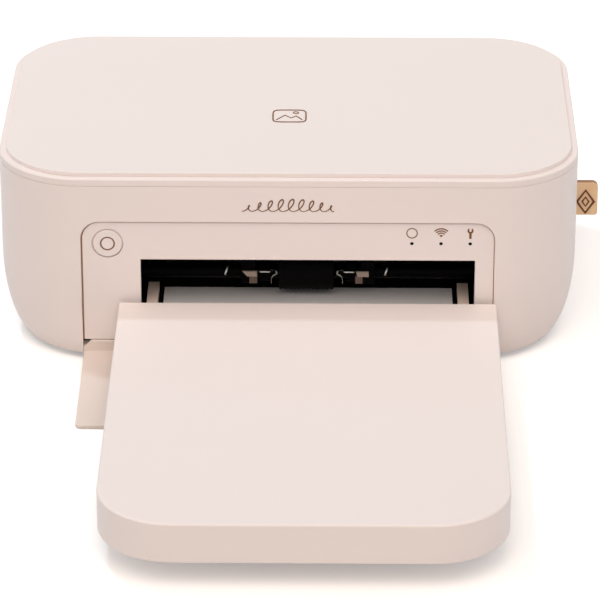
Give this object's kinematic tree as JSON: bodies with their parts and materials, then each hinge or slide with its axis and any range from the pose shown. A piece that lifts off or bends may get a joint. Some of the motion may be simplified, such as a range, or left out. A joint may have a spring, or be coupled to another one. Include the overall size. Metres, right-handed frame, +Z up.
{
  "type": "compact photo printer",
  "caption": "Compact photo printer with rounded housing, recessed front slot, paper cassette pushed in, folded-down front door and a leather pull tab on its side door.",
  "frame": {"origin": "on the table, under the centre of the housing", "axes": "+X to the right seen from the front, +Y to the back, +Z up"},
  "size_m": [0.2122, 0.2955, 0.0712],
  "materials": {
    "shell": "fine matt moulded surface, warm white",
    "panel": "matt, slightly darker warm white",
    "black_plastic": "matt black moulded plastic",
    "rubber": "matt rubber",
    "steel": "ground steel",
    "plated": "zinc-plated sheet",
    "aluminium": "extruded aluminium",
    "gear_plastic": "natural acetal",
    "collar": "white moulded plastic",
    "hanger": "warm grey-brown moulded plastic",
    "board": "solder-masked fibreglass board",
    "film": "thin coated film",
    "cartridge": "light grey moulded plastic",
    "light_pipe": "clear moulded plastic",
    "leather": "natural tan leather, burnished edges",
    "paper": "coated paper",
    "pad": "grey friction pad"
  },
  "bodies": {
    "housing": {"body_shell": "shell", "base_pan": "shell", "feet": "rubber", "base_screws": "steel", "top_cover": "shell", "top_plate": "shell", "front_panel": "panel", "tact_switch": "black_plastic", "button_board": "board", "led_pipes": "light_pipe", "status_board": "board", "ribbon_door_pin": "steel", "rear_guide": "black_plastic", "rear_bezel": "black_plastic", "dc_jack": "black_plastic", "usb_socket": "plated", "main_board": "board", "board_parts": "black_plastic", "left_frame": "black_plastic", "right_frame": "black_plastic", "cross_brace": "plated", "lower_guide": "black_plastic", "upper_guide": "black_plastic", "shaft_hangers": "hanger", "head_pivot": "steel", "gear_plate": "plated", "feed_motor": "steel", "ribbon_motor": "steel", "ribbon_cartridge": "cartridge", "ribbon_film": "film"},
    "front_door": {"front_door": "shell"},
    "power_button": {"power_button": "shell"},
    "ribbon_door": {"ribbon_door": "shell", "pull_tab": "leather"},
    "pickup": {"pickup_shaft": "steel", "pickup_roller": "rubber", "pickup_collars": "collar", "pickup_gear": "gear_plastic"},
    "idler": {"idler_gear": "gear_plastic"},
    "feed": {"feed_roller": "rubber", "feed_gear": "gear_plastic"},
    "feed_drive": {"feed_pinion": "gear_plastic"},
    "pinch": {"pinch_roller": "rubber"},
    "platen": {"platen_roller": "rubber"},
    "head": {"print_head": "aluminium", "head_arm": "plated"},
    "supply": {"supply_spool": "film"},
    "takeup": {"takeup_spool": "film", "takeup_gear": "gear_plastic"},
    "ribbon_drive": {"ribbon_pinion": "gear_plastic"},
    "cassette": {"cassette_base": "panel", "paper_guides": "black_plastic", "separator_pad": "pad"},
    "cassette_lid": {"cassette_lid": "shell"},
    "paper_lift": {"lift_plate": "plated", "paper_stack": "paper"}
  },
  "joints": [
    {"name": "front_door_fold", "type": "hinge", "parent": "housing", "child": "front_door", "pos_m": [0, -0.0649, 0.0042], "axis": [-1, 0, 0], "range_deg": [0, 7]},
    {"name": "power_button_press", "type": "slide", "parent": "housing", "child": "power_button", "axis": [0, 1, 0], "range_m": [0, 0.0008], "stiffness_N_per_m": 600},
    {"name": "ribbon_door_swing", "type": "hinge", "parent": "housing", "child": "ribbon_door", "pos_m": [0.1009, 0.0318, 0.048], "axis": [0, 0, 1], "range_deg": [0, 100]},
    {"name": "cassette_pull", "type": "slide", "parent": "housing", "child": "cassette", "axis": [0, -1, 0], "range_m": [0, 0.06]},
    {"name": "cassette_lid_lift", "type": "hinge", "parent": "cassette", "child": "cassette_lid", "pos_m": [0.007, -0.0698, 0.021], "axis": [-1, 0, 0], "range_deg": [0, 90]},
    {"name": "paper_lift_tilt", "type": "hinge", "parent": "cassette", "child": "paper_lift", "pos_m": [0.007, -0.21, 0.0115], "axis": [1, 0, 0], "range_deg": [0, 0.68]},
    {"name": "head_lift", "type": "hinge", "parent": "housing", "child": "head", "pos_m": [0.007, 0.042, 0.0383], "axis": [-1, 0, 0], "range_deg": [0, 6]},
    {"name": "feed_spin", "type": "hinge", "parent": "housing", "child": "feed", "pos_m": [0.007, -0.02, 0.0273], "axis": [1, 0, 0], "continuous": true},
    {"name": "idler_spin", "type": "hinge", "parent": "housing", "child": "idler", "pos_m": [0.007, -0.03542, 0.02064], "axis": [1, 0, 0], "continuous": true},
    {"name": "pickup_spin", "type": "hinge", "parent": "housing", "child": "pickup", "pos_m": [0.007, -0.047, 0.0261], "axis": [1, 0, 0], "continuous": true},
    {"name": "feed_drive_spin", "type": "hinge", "parent": "housing", "child": "feed_drive", "pos_m": [0.007, -0.02714, 0.04072], "axis": [1, 0, 0], "continuous": true},
    {"name": "pinch_spin", "type": "hinge", "parent": "housing", "child": "pinch", "pos_m": [0.007, -0.02, 0.0366], "axis": [1, 0, 0], "continuous": true},
    {"name": "platen_spin", "type": "hinge", "parent": "housing", "child": "platen", "pos_m": [0.007, 0.001, 0.0248], "axis": [1, 0, 0], "continuous": true},
    {"name": "takeup_spin", "type": "hinge", "parent": "housing", "child": "takeup", "pos_m": [0.007, 0.018, 0.0518], "axis": [1, 0, 0], "continuous": true},
    {"name": "supply_spin", "type": "hinge", "parent": "housing", "child": "supply", "pos_m": [0.007, -0.016, 0.0518], "axis": [1, 0, 0], "continuous": true},
    {"name": "ribbon_drive_spin", "type": "hinge", "parent": "housing", "child": "ribbon_drive", "pos_m": [0.007, 0.02551, 0.03767], "axis": [1, 0, 0], "continuous": true}
  ],
  "couplings": [
    {"joint": "idler_spin", "follows": "feed_spin", "ratio": -1.625},
    {"joint": "pickup_spin", "follows": "feed_spin", "ratio": 1.625},
    {"joint": "feed_drive_spin", "follows": "feed_spin", "ratio": -2.1667},
    {"joint": "pinch_spin", "follows": "feed_spin", "ratio": -1.25},
    {"joint": "supply_spin", "follows": "takeup_spin", "ratio": 0.75},
    {"joint": "ribbon_drive_spin", "follows": "takeup_spin", "ratio": -2.3333}
  ]
}
